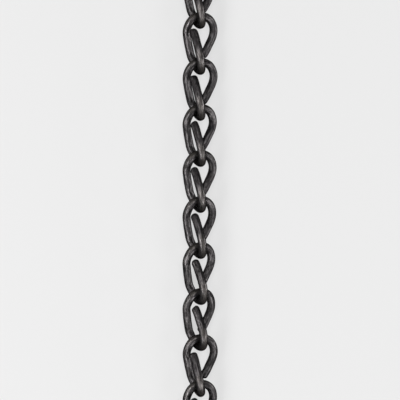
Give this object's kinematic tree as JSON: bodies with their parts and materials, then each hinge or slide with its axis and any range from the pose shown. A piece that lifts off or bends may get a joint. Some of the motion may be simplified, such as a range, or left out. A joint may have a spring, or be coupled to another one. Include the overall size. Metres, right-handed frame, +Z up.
{
  "type": "length of lamp chain",
  "caption": "Straight length of open-link lamp chain in dark bronze wire; every link swings in the loop of the one before it.",
  "frame": {"origin": "bottom centre of the bounding box, on the floor under the middle of the chain's length", "axes": "+X along the chain, from link_01 to link_12; +Z up from the floor that the chain lies on; +Y across the chain"},
  "size_m": [0.3141, 0.0203, 0.0205],
  "materials": {
    "dark_bronze_finish": "satin"
  },
  "bodies": {
    "link_01": {"link_01": "dark_bronze_finish"},
    "link_02": {"link_02": "dark_bronze_finish"},
    "link_03": {"link_03": "dark_bronze_finish"},
    "link_04": {"link_04": "dark_bronze_finish"},
    "link_05": {"link_05": "dark_bronze_finish"},
    "link_06": {"link_06": "dark_bronze_finish"},
    "link_07": {"link_07": "dark_bronze_finish"},
    "link_08": {"link_08": "dark_bronze_finish"},
    "link_09": {"link_09": "dark_bronze_finish"},
    "link_10": {"link_10": "dark_bronze_finish"},
    "link_11": {"link_11": "dark_bronze_finish"},
    "link_12": {"link_12": "dark_bronze_finish"}
  },
  "joints": [
    {"name": "swing_02", "type": "hinge", "parent": "link_01", "child": "link_02", "pos_m": [-0.12458, 0, 0.00877], "axis": [0, 0, 1], "range_deg": [-75, 30]},
    {"name": "swing_03", "type": "hinge", "parent": "link_02", "child": "link_03", "pos_m": [-0.09917, 0, 0.00877], "axis": [0, 0, -1], "range_deg": [-30, 75]},
    {"name": "swing_04", "type": "hinge", "parent": "link_03", "child": "link_04", "pos_m": [-0.07377, 0, 0.00877], "axis": [0, 0, 1], "range_deg": [-75, 30]},
    {"name": "swing_05", "type": "hinge", "parent": "link_04", "child": "link_05", "pos_m": [-0.04838, 0, 0.00877], "axis": [0, 0, -1], "range_deg": [-30, 75]},
    {"name": "swing_06", "type": "hinge", "parent": "link_05", "child": "link_06", "pos_m": [-0.02297, 0, 0.00877], "axis": [0, 0, 1], "range_deg": [-75, 30]},
    {"name": "swing_07", "type": "hinge", "parent": "link_06", "child": "link_07", "pos_m": [0.00243, 0, 0.00877], "axis": [0, 0, -1], "range_deg": [-30, 75]},
    {"name": "swing_08", "type": "hinge", "parent": "link_07", "child": "link_08", "pos_m": [0.02782, 0, 0.00877], "axis": [0, 0, 1], "range_deg": [-75, 30]},
    {"name": "swing_09", "type": "hinge", "parent": "link_08", "child": "link_09", "pos_m": [0.05323, 0, 0.00877], "axis": [0, 0, -1], "range_deg": [-25, 75]},
    {"name": "swing_10", "type": "hinge", "parent": "link_09", "child": "link_10", "pos_m": [0.07863, 0, 0.00877], "axis": [0, 0, 1], "range_deg": [-50, 15]},
    {"name": "swing_11", "type": "hinge", "parent": "link_10", "child": "link_11", "pos_m": [0.10403, 0, 0.00877], "axis": [0, 0, -1], "range_deg": [-30, 75]},
    {"name": "swing_12", "type": "hinge", "parent": "link_11", "child": "link_12", "pos_m": [0.12943, 0, 0.00877], "axis": [0, 0, 1], "range_deg": [-75, 30]}
  ]
}
